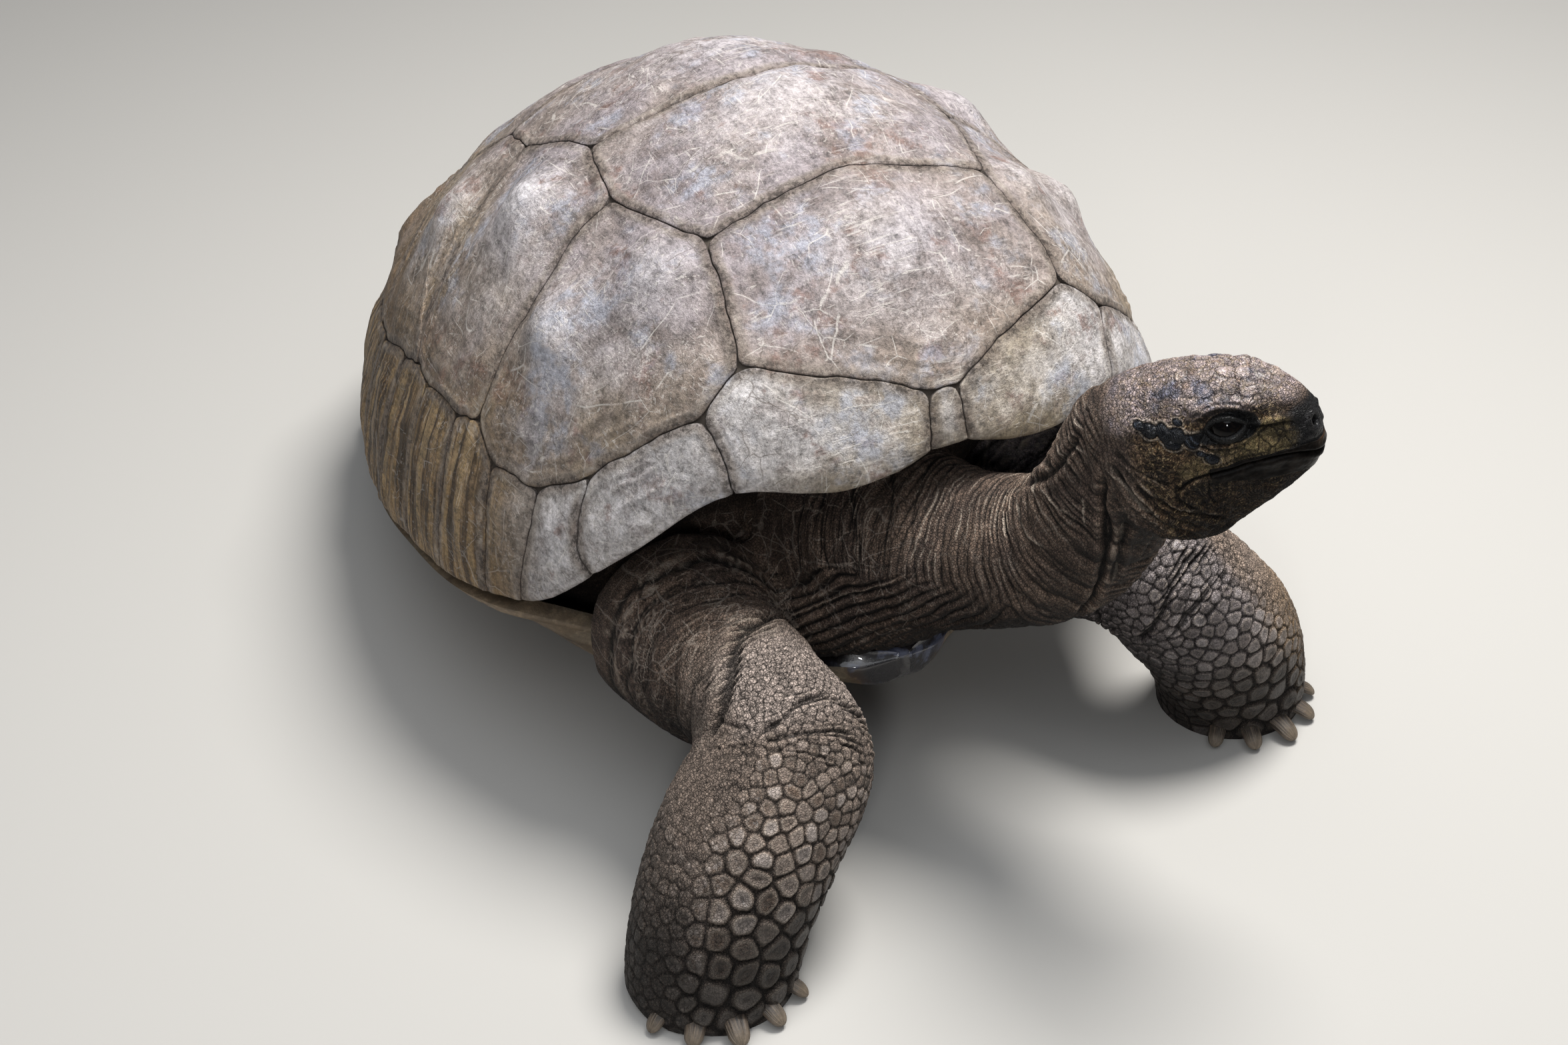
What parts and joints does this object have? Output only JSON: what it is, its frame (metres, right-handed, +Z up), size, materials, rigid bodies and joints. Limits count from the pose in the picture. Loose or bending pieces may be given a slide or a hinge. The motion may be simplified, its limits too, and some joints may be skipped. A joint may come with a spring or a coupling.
{
  "type": "giant tortoise",
  "caption": "Life-size still model of a standing giant tortoise with a worn domed shell, its neck stretched out and its head turned to its left.",
  "frame": {"origin": "middle of the bounding box, on the level of the four soles", "axes": "+Z up, the animal faces -Y along its shell, its left side is +X"},
  "size_m": [0.8764, 1.4343, 0.6618],
  "materials": {
    "shell_horn": "worn grey horn with fine pale scratches",
    "rim_horn": "worn grey to olive-brown horn, streaked on the flanks",
    "belly_horn": "smooth brown horn",
    "skin": "dry dark grey-brown scaly hide",
    "eye": "wet black",
    "claw_horn": "dull dark horn"
  },
  "bodies": {
    "root": {"vertebral_1": "shell_horn", "vertebral_2": "shell_horn", "vertebral_3": "shell_horn", "vertebral_4": "shell_horn", "vertebral_5": "shell_horn", "nuchal": "rim_horn", "supracaudal": "rim_horn", "costal_left_1": "shell_horn", "costal_left_2": "shell_horn", "costal_left_3": "shell_horn", "costal_left_4": "shell_horn", "marginal_left_1": "rim_horn", "marginal_left_2": "rim_horn", "marginal_left_3": "rim_horn", "marginal_left_4": "rim_horn", "marginal_left_5": "rim_horn", "marginal_left_6": "rim_horn", "marginal_left_7": "rim_horn", "marginal_left_8": "rim_horn", "marginal_left_9": "rim_horn", "marginal_left_10": "rim_horn", "marginal_left_11": "rim_horn", "costal_right_1": "shell_horn", "costal_right_2": "shell_horn", "costal_right_3": "shell_horn", "costal_right_4": "shell_horn", "marginal_right_1": "rim_horn", "marginal_right_2": "rim_horn", "marginal_right_3": "rim_horn", "marginal_right_4": "rim_horn", "marginal_right_5": "rim_horn", "marginal_right_6": "rim_horn", "marginal_right_7": "rim_horn", "marginal_right_8": "rim_horn", "marginal_right_9": "rim_horn", "marginal_right_10": "rim_horn", "marginal_right_11": "rim_horn", "plastron": "belly_horn", "trunk": "skin", "neck_base": "skin", "neck_upper": "skin", "head": "skin", "lower_jaw": "skin", "eye_left": "eye", "eye_right": "eye", "foreleg_right_upper": "skin", "foreleg_right_lower": "skin", "foreleg_left_upper": "skin", "foreleg_left_lower": "skin", "hind_leg_left_upper": "skin", "hind_leg_left_lower": "skin", "hind_leg_right_upper": "skin", "hind_leg_right_lower": "skin", "tail": "skin"}
  },
  "joints": []
}
